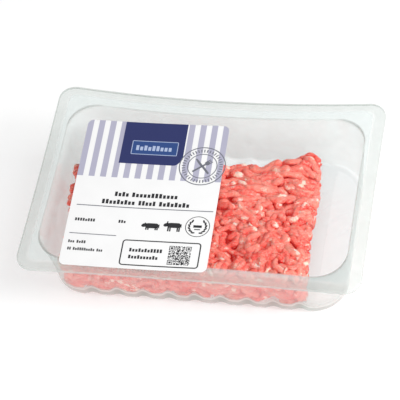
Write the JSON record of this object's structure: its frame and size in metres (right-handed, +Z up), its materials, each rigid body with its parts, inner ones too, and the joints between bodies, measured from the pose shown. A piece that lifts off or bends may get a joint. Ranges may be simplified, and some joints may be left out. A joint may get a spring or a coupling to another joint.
{
  "type": "meat tray pack",
  "caption": "Sealed clear tray with a ribbed floor and a flat rim, a clear film over its mouth, a paper label on the film and a block of minced meat inside.",
  "frame": {"origin": "middle of the bounding box at the level of the feet", "axes": "+X along the length of the tray, +Y from the front long side to the back, +Z up"},
  "size_m": [0.1866, 0.1258, 0.0418],
  "materials": {
    "clear_tray": "clear, glossy, faintly hazy",
    "clear_film": "clear, glossy",
    "label_paper": "smooth coated paper",
    "minced_meat": "moist raw meat with pale flecks of fat"
  },
  "bodies": {
    "root": {"tray": "clear_tray", "film": "clear_film", "label": "label_paper", "mince": "minced_meat"}
  },
  "joints": []
}
